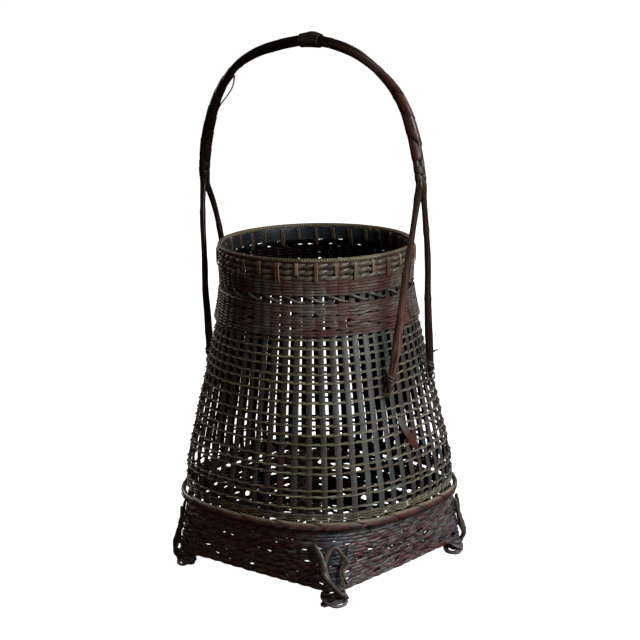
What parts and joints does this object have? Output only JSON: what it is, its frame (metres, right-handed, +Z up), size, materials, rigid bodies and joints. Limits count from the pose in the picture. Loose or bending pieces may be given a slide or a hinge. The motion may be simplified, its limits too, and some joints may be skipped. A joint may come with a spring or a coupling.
{
  "type": "ikebana basket",
  "caption": "Openwork bamboo flower basket, square at the foot and round at the mouth, with a close-woven neck, a lashed rim and a tall handle of twisted vine tied to its wall.",
  "frame": {"origin": "on the ground under the middle of the basket, on the axis of its round mouth", "axes": "+Z up along the basket's axis; the sides of the square foot are parallel to X and Y; the handle runs over the top from +X to -X"},
  "size_m": [0.2522, 0.2488, 0.4939],
  "materials": {
    "foot": "dark smoked vine, satin lacquer",
    "tie": "split brown vine, satin",
    "floor": "dark smoked bamboo, matt",
    "skirt": "red-brown and black smoked bamboo, satin",
    "hoop": "olive-grey cane, satin",
    "hoop_wrap": "red-brown bamboo strip, satin lacquer",
    "stakes": "grey-brown smoked bamboo, satin",
    "row": "khaki-brown split bamboo, satin",
    "neck": "dark brown split bamboo, satin",
    "twist": "brown cane, satin",
    "rim": "brown cane, satin",
    "rim_lining": "blue-black bamboo strip, satin",
    "top_hoop": "tan cane, finely wrapped, satin",
    "lashing": "tan split cane, satin",
    "vine": "dark lacquered vine with red-brown highlights",
    "handle_wrap": "dark lacquered vine strip, satin",
    "sleeve": "red-brown bamboo strip, satin lacquer",
    "tail": "red-brown bamboo strip, satin"
  },
  "bodies": {
    "root": {"front_foot": "foot", "right_foot": "foot", "back_foot": "foot", "left_foot": "foot", "front_corner_tie": "tie", "right_corner_tie": "tie", "back_corner_tie": "tie", "left_corner_tie": "tie", "floor_mat": "floor", "base_skirt": "skirt", "shoulder_hoop": "hoop", "shoulder_wrap": "hoop_wrap", "stake_cage": "stakes", "weaver_row_01": "row", "weaver_row_02": "row", "weaver_row_03": "row", "weaver_row_04": "row", "weaver_row_05": "row", "weaver_row_06": "row", "weaver_row_07": "row", "weaver_row_08": "row", "weaver_row_09": "row", "weaver_row_10": "row", "weaver_row_11": "row", "weaver_row_12": "row", "weaver_row_13": "row", "weaver_row_14": "row", "weaver_row_15": "row", "weaver_row_16": "row", "weaver_row_17": "row", "weaver_row_18": "row", "weaver_row_19": "row", "lower_neck_weave": "neck", "upper_neck_weave": "neck", "neck_twist_strand_a": "twist", "neck_twist_strand_b": "twist", "rim_row_1": "rim", "rim_row_2": "rim", "rim_row_3": "rim", "rim_inner_strip": "rim_lining", "rim_top_hoop": "top_hoop", "rim_lashing": "lashing", "handle_vine_a": "vine", "handle_vine_b": "vine", "right_fork_binding": "handle_wrap", "left_fork_binding": "handle_wrap", "right_handle_wrap": "handle_wrap", "left_handle_wrap": "handle_wrap", "handle_top_sleeve": "sleeve", "right_front_lashing": "lashing", "right_back_lashing": "lashing", "left_front_lashing": "lashing", "left_back_lashing": "lashing", "tucked_tail": "tail", "loose_strip": "handle_wrap"}
  },
  "joints": []
}
